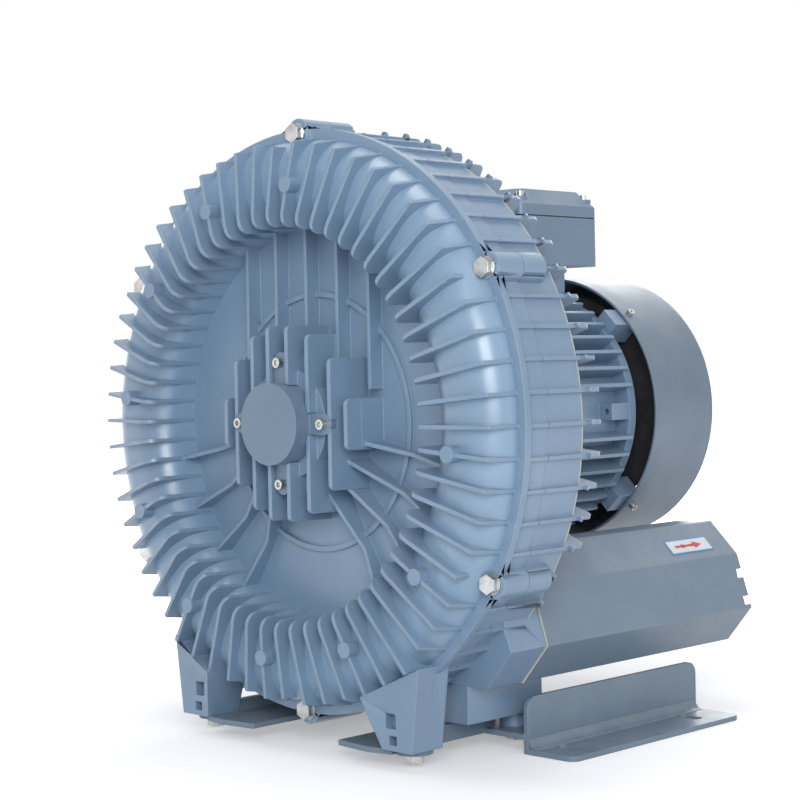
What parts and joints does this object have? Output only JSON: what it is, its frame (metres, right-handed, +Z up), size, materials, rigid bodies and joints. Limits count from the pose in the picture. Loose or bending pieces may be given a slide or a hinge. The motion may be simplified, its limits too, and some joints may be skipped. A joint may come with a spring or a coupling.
{
  "type": "industrial blower",
  "caption": "Side-channel blower: finned aluminium casing with a vaned impeller, finned motor with fan cowl and terminal box, two silencers with hose flanges, and two slotted feet.",
  "frame": {"origin": "On the floor, in the middle of the four foot slots.", "axes": "+X is the discharge side, +Y runs along the shaft from the front cover to the fan cowl, +Z is up."},
  "size_m": [0.4538, 0.415, 0.4815],
  "materials": {
    "casting_paint": "blue-grey semi-gloss paint on aluminium castings",
    "sheet_paint": "grey-blue satin paint on sheet steel",
    "zinc_steel": "zinc-plated steel",
    "bright_steel": "ground steel",
    "cast_aluminium": "bare cast aluminium",
    "lamination_steel": "varnished steel laminations",
    "copper_winding": "varnished copper wire",
    "black_plastic": "matt black moulded plastic",
    "black_rubber": "black rubber",
    "pale_gasket": "pale fibre gasket sheet",
    "absorber_foam": "dark open-cell absorber foam"
  },
  "bodies": {
    "housing": {"front_cover": "casting_paint", "rear_casing": "casting_paint", "casing_gasket": "pale_gasket", "cover_bolts": "zinc_steel", "cover_washers": "zinc_steel", "bearing_cap": "casting_paint", "cap_screws": "zinc_steel", "preload_spring": "bright_steel", "bearing_outer_rings": "bright_steel", "shaft_seal": "black_rubber", "motor_front_shield": "casting_paint", "motor_frame": "casting_paint", "motor_rear_shield": "casting_paint", "motor_bolts": "zinc_steel", "shield_bolts": "zinc_steel", "stator_core": "lamination_steel", "stator_windings": "copper_winding", "fan_cowl": "sheet_paint", "cowl_screws": "zinc_steel", "terminal_box": "casting_paint", "terminal_gasket": "black_rubber", "terminal_lid": "casting_paint", "lid_screws": "zinc_steel", "terminal_block": "black_plastic", "cable_gland": "black_plastic", "port_gaskets": "pale_gasket", "silencer_right": "sheet_paint", "silencer_left": "sheet_paint", "silencer_liners": "absorber_foam", "hose_flange_right": "casting_paint", "hose_flange_left": "casting_paint", "hose_flange_screws": "zinc_steel", "foot_right": "casting_paint", "foot_left": "casting_paint", "foot_bolts": "zinc_steel", "foot_washers": "zinc_steel"},
    "rotor": {"shaft": "bright_steel", "impeller": "cast_aluminium", "impeller_key": "bright_steel", "impeller_nut": "zinc_steel", "bearing_inner_rings": "bright_steel", "rotor_core": "lamination_steel", "cooling_fan": "black_plastic", "fan_circlip": "bright_steel"},
    "ball_sets": {"bearing_ball_sets": "bright_steel"}
  },
  "joints": [
    {"name": "shaft_spin", "type": "hinge", "parent": "housing", "child": "rotor", "pos_m": [0, 0, 0.25], "axis": [0, 1, 0], "continuous": true},
    {"name": "ball_orbit", "type": "hinge", "parent": "housing", "child": "ball_sets", "pos_m": [0, 0, 0.25], "axis": [0, 1, 0], "continuous": true}
  ],
  "couplings": [
    {"joint": "ball_orbit", "follows": "shaft_spin", "ratio": 0.3965}
  ]
}
